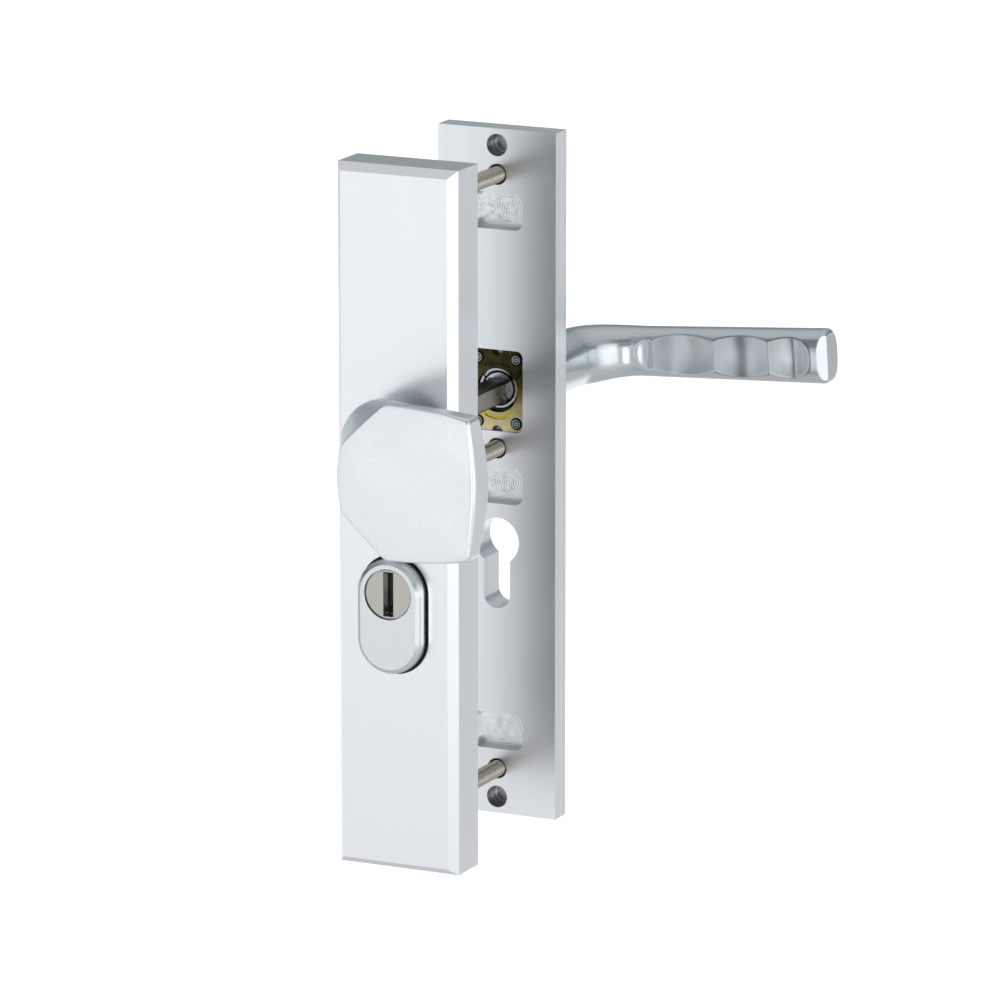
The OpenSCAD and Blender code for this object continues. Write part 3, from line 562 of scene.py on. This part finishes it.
def lever_section(s, a):
    """Points at angles a round the middle line at distance s along it: a soft rectangle square to the line,
    cut back on the door side by shallow bowls. The line leaves the plate straight, turns a quarter and runs
    along the grip."""
    turn = np.pi / 2 * np.clip((s - NECK_L) / ARC_L, 0, 1)
    grip = np.maximum(0, s - NECK_L - ARC_L)
    line_x = BEND_R * (1 - np.cos(turn)) + grip
    line_y = SHOULDER_Y + np.minimum(s, NECK_L) + BEND_R * np.sin(turn)
    left = np.clip((PATH_L - s) / END_ROUND, 0, 1)
    tip = mix(END_PART, 1.0, np.sqrt(np.maximum(0, 1 - (1 - left) ** 2)))
    grown = ease(s / NECK_L)
    grip_h = LEVER_H / 2 * mix(0.95, 1.05, grip / (LEVER_L - BEND_R))
    bent = s - NECK_L - 0.3 * ARC_L
    half_h = tip * mix(FOOT_R, mix(BEND_HALF_H, grip_h, ease(bent / (0.7 * ARC_L))), grown)
    half_t = tip * mix(FOOT_R, mix(BEND_HALF_T, LEVER_T / 2, ease(bent / (0.9 * ARC_L))), grown)
    k = 2 / mix(2, 2.7, ease(s / (NECK_L + ARC_L)))
    c = np.sign(np.cos(a)) * np.abs(np.cos(a)) ** k
    d = np.sign(np.sin(a)) * np.abs(np.sin(a)) ** k
    reach = c * half_t
    depth = finger_cut(line_x)
    floor = half_t - depth + FINGER_BOWL * (d * half_h) ** 2 * (depth > 0)
    side = np.where(c > 0, soft_least(reach, floor, 0.5), reach)
    x = line_x + side * np.cos(turn)
    y = line_y - side * np.sin(turn)
    z = d * half_h
    return np.stack([x + 0 * a, y + 0 * a, z + 0 * s], axis=-1)


def end_slope(points):
    """Points past the sloping flat across the end's door side are laid on it, with a slightly soft edge."""
    normal = np.array([math.cos(END_TURN), -math.sin(END_TURN), 0.0])
    corner = np.array([LEVER_L, GRIP_Y - LEVER_T / 2 + END_FLAT, 0.0])
    past = (points - corner) @ normal
    soft = 0.5 * (past + np.sqrt(past * past + 0.08 ** 2))
    return points - (soft * (past > -1.0))[..., None] * normal


def tilt(points):
    """Turns points about the spindle axis by the grip's slope."""
    x, y, z = points[..., 0], points[..., 1], points[..., 2]
    c, d = math.cos(LEVER_SLOPE), math.sin(LEVER_SLOPE)
    return np.stack([x * c - z * d, y, x * d + z * c], axis=-1)


def make_lever():
    """Journal with its ring groove, shoulder, then sections along the middle line, and the end closed by
    sections shrinking to its middle."""
    a = -np.linspace(0, 2 * np.pi, 180, endpoint=False)[None, :]
    low = lever_low[1]
    groove = NECK_RING_Y
    groove_r = NECK_R - 0.9
    steps = ((low, NECK_R - 0.4), (low + 0.4, NECK_R), (groove - 0.1, NECK_R), (groove - 0.1, groove_r),
             (groove + NECK_RING_T + 0.1, groove_r), (groove + NECK_RING_T + 0.1, NECK_R),
             (SHOULDER_Y, NECK_R), (SHOULDER_Y, 9.6), (SHOULDER_Y + 0.12, 9.88))
    y, r = np.array(steps).T[..., None]
    journal = np.stack([r * np.cos(a), y + 0 * a, r * np.sin(a)], axis=-1)
    s = np.concatenate([np.linspace(0.4, NECK_L, 30), np.linspace(NECK_L, NECK_L + ARC_L, 60)[1:],
                        np.linspace(NECK_L + ARC_L, PATH_L - END_ROUND, 230)[1:],
                        PATH_L - END_ROUND * (1 - np.sin(np.linspace(0, np.pi / 2, 12)[1:]))])[:, None]
    body = lever_section(s, a)
    rim = body[-1]
    middle = rim.mean(axis=0)
    f = np.linspace(0, 1, 24)[1:-1, None, None]
    face = mix(rim[None], middle, f)
    grip = tilt(end_slope(np.concatenate([body, face])))
    return skin("lever_grip", np.concatenate([journal, grip]), sharp=28)


lever = make_lever()
lever.data.materials.append(shaded_lever_finish)
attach(lever, "lever")
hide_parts("lever_handle")


# ---------------------------------------------------------------- threaded fixing screws

SCREW_R, THREAD_PITCH, THREAD_DEPTH = 3.0, 1.0, 0.5
SCREW_HEAD_R, SCREW_HEAD_T, SOCKET_R, SOCKET_DEEP = 6.3, 3.3, 2.3, 3.2
SCREW_ZS = (screw_high[2] - SCREW_HEAD_R, -21.0, screw_low[2] + SCREW_HEAD_R)


def hexagon(a, across):
    """Reach of a hexagon with the given corner radius in direction a."""
    inner = across * math.cos(math.pi / 6)
    return inner / np.cos((a + math.pi / 6) % (math.pi / 3) - math.pi / 6)


def make_screw(z):
    """Thread, countersunk head and hexagon socket as one profile carried round the screw's axis. The thread's
    radius falls by a raised cosine of (distance along the axis / pitch - turn)."""
    a = np.linspace(0, 2 * np.pi, 24, endpoint=False)[None, :]
    tip, end = screw_low[1], screw_high[1]
    shank_end = end - SCREW_HEAD_T
    y = np.arange(tip + 0.6, shank_end - 0.6, THREAD_PITCH / 8)[:, None]
    turn = (y / THREAD_PITCH - a / (2 * np.pi)) % 1.0
    fade = ease((y - tip) / 1.5) * ease((shank_end - y) / 2.0)
    wave = 0.5 - 0.5 * np.cos(2 * np.pi * turn)
    r = SCREW_R - THREAD_DEPTH * fade * wave - 0.35 * (1 - ease((y - tip) / 1.2))
    thread = np.stack([r * np.cos(a), y + 0 * a, r * np.sin(a)], axis=-1)
    start = np.stack([2.3 * np.cos(a), tip + 0 * a, 2.3 * np.sin(a)], axis=-1)
    head_steps = ((shank_end, SCREW_R), (end - 0.5, SCREW_HEAD_R - 0.25), (end - 0.25, SCREW_HEAD_R),
                  (end - 0.08, SCREW_HEAD_R - 0.08), (end, SCREW_HEAD_R - 0.3))
    hy, hr = np.array(head_steps).T[..., None]
    head = np.stack([hr * np.cos(a), hy + 0 * a, hr * np.sin(a)], axis=-1)
    hole = np.array(((end, 1.06), (end - 0.15, 1.0), (end - SOCKET_DEEP, 1.0), (end - SOCKET_DEEP, 0.3)))
    sy, sr = hole.T[..., None]
    reach = sr * hexagon(a, SOCKET_R)
    socket = np.stack([reach * np.cos(a), sy + 0 * a, reach * np.sin(a)], axis=-1)
    rings = np.concatenate([start, thread, head, socket])[:, ::-1]
    rings[..., 2] += z
    return skin("screw", rings, sharp=32)


screws = join_pieces("threaded_screws", [make_screw(z) for z in SCREW_ZS])
screws.data.materials.append(nickel)
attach(screws, "plates")
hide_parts("fixing_screws")


# ---------------------------------------------------------------- springs of the cylinder cover

COIL_R, WIRE_R, COIL_TURNS, COVER_TRAVEL = 1.1, 0.2, 6, 4.0
spring_low, spring_high = corners("cover_springs")


def make_spring(x, z):
    """A round wire carried along a helix: at turn t its middle lies at the coil's radius in direction t and
    climbs evenly along the axis."""
    t = np.linspace(0, 2 * np.pi * COIL_TURNS, 24 * COIL_TURNS)[:, None]
    p = np.linspace(0, 2 * np.pi, 10, endpoint=False)[None, :]
    climb = mix(spring_low[1] + WIRE_R, spring_high[1] - WIRE_R, t / t[-1])
    reach = COIL_R + WIRE_R * np.cos(p)
    rings = np.stack([x + reach * np.cos(t), climb + WIRE_R * np.sin(p), z + reach * np.sin(t)], axis=-1)
    return skin("spring", rings, sharp=60)


SPRING_X = spring_high[0] - COIL_R - WIRE_R
SPRING_ZS = (spring_low[2] + COIL_R + WIRE_R, spring_high[2] - COIL_R - WIRE_R)
springs = join_pieces("cover_coils", [make_spring(x, z) for x in (-SPRING_X, SPRING_X) for z in SPRING_ZS])
springs.data.materials.append(spring_steel)
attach(springs, "plates")
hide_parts("cover_springs")
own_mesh(springs)


# ---------------------------------------------------------------- camera, light and floor

CAMERA_TURN = math.radians(26.0)
CAMERA_RISE = math.radians(13.26)
CAMERA_AWAY = 2.56
ahead = Vector((-math.sin(CAMERA_TURN) * math.cos(CAMERA_RISE),
                math.cos(CAMERA_TURN) * math.cos(CAMERA_RISE), -math.sin(CAMERA_RISE)))
side = Vector((math.cos(CAMERA_TURN), math.sin(CAMERA_TURN), 0))
camera = bpy.data.objects.new("camera", bpy.data.cameras.new("camera"))
bpy.context.collection.objects.link(camera)
camera.location = Vector((0, 0, MID_Z * MM)) - ahead * CAMERA_AWAY
camera.data.lens = 264.5
camera.data.sensor_width = 36.0
camera.data.clip_start = 0.1
camera.data.clip_end = 100.0
AIM_ASIDE, AIM_UP = 0.01113, 0.00152
aim = (ahead + side * AIM_ASIDE + side.cross(ahead) * AIM_UP).normalized()
camera.rotation_euler = aim.to_track_quat("-Z", "Y").to_euler()
bpy.context.scene.camera = camera


def soft_box(name, place, target, width, height, power):
    """A rectangular light that faces a point."""
    lamp = bpy.data.objects.new(name, bpy.data.lights.new(name, "AREA"))
    bpy.context.collection.objects.link(lamp)
    lamp.data.shape = "RECTANGLE"
    lamp.data.size = width
    lamp.data.size_y = height
    lamp.data.energy = power
    lamp.location = place
    lamp.rotation_euler = (Vector(target) - Vector(place)).to_track_quat("-Z", "Y").to_euler()
    return lamp


# where the bright lane starts, is full, is still full and ends, in metres across the view
LANE = (-1.7, -0.95, 0.75, 1.3)


def make_floor():
    """A wide pale floor well under the fitting that glows: painted light, a faint even glow with a glowing
    lane behind and a glowing field in front that light the metal's reflections.
    """
    mesh = bpy.data.meshes.new("floor")
    w = 12.0
    z = -0.75
    mesh.from_pydata([(-w, -w, z), (w, -w, z), (w, w, z), (-w, w, z)], [], [(0, 1, 2, 3)])
    floor = bpy.data.objects.new("floor", mesh)
    bpy.context.collection.objects.link(floor)
    finish = Finish("pale_floor", (0.93, 0.93, 0.935), 0.9, metallic=0.0)
    finish.vary_roughness(finish.noise((3, 3, 3)), 0.03)
    finish.shader.inputs["Emission Color"].default_value = (1, 1, 1, 1)
    split = finish.node("ShaderNodeSeparateXYZ")
    finish.link(finish.place((1, 1, 1)), split.inputs["Vector"])
    x, y = split.outputs["X"], split.outputs["Y"]
    # painted light: a glowing lane behind the fitting, as seen from the front
    across = finish.sums("ADD", finish.sums("MULTIPLY", x, side.x), finish.sums("MULTIPLY", y, side.y))
    lane = finish.sums("MULTIPLY", finish.spread(across, LANE[0], LANE[1], 0.0, 1.0),
                       finish.spread(across, LANE[2], LANE[3], 1.0, 0.09))
    lane = finish.sums("MULTIPLY", lane, finish.spread(y, 0.9, 1.4, 0.0, 0.62))
    # painted light: a glowing field in front, to the left, brighter the further away
    field = finish.sums("MULTIPLY", finish.spread(x, 0.02, -0.35, 0.0, 1.0),
                        finish.spread(x, -4.6, -3.4, 0.0, 1.0))
    field = finish.sums("MULTIPLY", field, finish.spread(y, -1.7, -4.2, 0.32, 0.72))
    field = finish.sums("MULTIPLY", field, finish.spread(y, -0.9, -1.6, 0.0, 1.0))
    glow = finish.sums("ADD", finish.sums("ADD", lane, field), 0.08)
    finish.link(glow, finish.shader.inputs["Emission Strength"])
    mesh.materials.append(finish.material)
    return floor


# tone of the sky by height, from straight down at 0 to straight up at 1, and of its front half from level at 0
SKY_TONES = ((0.0, 0.95), (0.47, 0.95), (0.53, 0.56), (0.57, 0.23), (0.66, 0.19), (0.76, 0.42), (1.0, 0.62))
FRONT_TONES = ((0.12, 1.3), (0.30, 1.3), (0.42, 0.42), (0.66, 0.42), (0.82, 1.0))
SKY_LIGHT = 1.1


def studio_sky():
    """Pale even surroundings, a little darker overhead, so that satin metal keeps its soft gradients."""
    world = bpy.data.worlds.new("studio")
    bpy.context.scene.world = world
    world.use_nodes = True
    nodes, links = world.node_tree.nodes, world.node_tree.links
    background = nodes["Background"]
    place = nodes.new("ShaderNodeTexCoord")
    split = nodes.new("ShaderNodeSeparateXYZ")
    links.new(place.outputs["Generated"], split.inputs["Vector"])

    def band(socket, low, high, to_low, to_high):
        step = nodes.new("ShaderNodeMapRange")
        step.interpolation_type = "SMOOTHSTEP"
        for key, number in (("From Min", low), ("From Max", high), ("To Min", to_low), ("To Max", to_high)):
            step.inputs[key].default_value = number
        links.new(socket, step.inputs["Value"])
        return step.outputs["Result"]

    def times(a, b):
        step = nodes.new("ShaderNodeMath")
        step.operation = "MULTIPLY"
        links.new(a, step.inputs[0])
        links.new(b, step.inputs[1])
        return step.outputs["Value"]

    ramp = nodes.new("ShaderNodeValToRGB")
    links.new(band(split.outputs["Z"], -1.0, 1.0, 0.0, 1.0), ramp.inputs["Fac"])
    ramp.color_ramp.elements[0].position = SKY_TONES[0][0]
    ramp.color_ramp.elements[0].color = (*[SKY_TONES[0][1]] * 3, 1)
    ramp.color_ramp.elements[1].position = SKY_TONES[-1][0]
    ramp.color_ramp.elements[1].color = (*[SKY_TONES[-1][1]] * 3, 1)
    for position, tone in SKY_TONES[1:-1]:
        ramp.color_ramp.elements.new(position).color = (tone * 0.88, tone * 0.99, tone * 1.03, 1)
    links.new(ramp.outputs["Color"], background.inputs["Color"])
    # in front the sky is bright low down and dark half way up, and it is darker far to the left: that draws a
    # fine line along every soft edge
    front_ramp = nodes.new("ShaderNodeValToRGB")
    links.new(band(split.outputs["Z"], 0.0, 1.0, 0.0, 1.0), front_ramp.inputs["Fac"])
    front_ramp.color_ramp.elements[0].color = (1, 1, 1, 1)
    front_ramp.color_ramp.elements[1].color = (1, 1, 1, 1)
    for position, tone in FRONT_TONES:
        front_ramp.color_ramp.elements.new(position).color = (tone, tone, tone, 1)
    ahead_part = nodes.new("ShaderNodeMix")
    ahead_part.inputs["B"].default_value = 1.0
    links.new(band(split.outputs["Y"], -0.5, 0.0, 0.0, 1.0), ahead_part.inputs["Factor"])
    links.new(front_ramp.outputs["Color"], ahead_part.inputs["A"])
    left = band(split.outputs["X"], -0.95, -0.7, 0.62, SKY_LIGHT)
    links.new(times(ahead_part.outputs["Result"], left), background.inputs["Strength"])


make_floor()
studio_sky()
soft_box("right_box", (2.3, -0.45, 0.1), (0, 0, 0), 2.0, 1.5, 9)
soft_box("front_right_box", (1.2, -2.15, -0.42), (0, 0, -0.03), 0.8, 0.6, 4.5)
bpy.context.scene.view_settings.view_transform = "Standard"
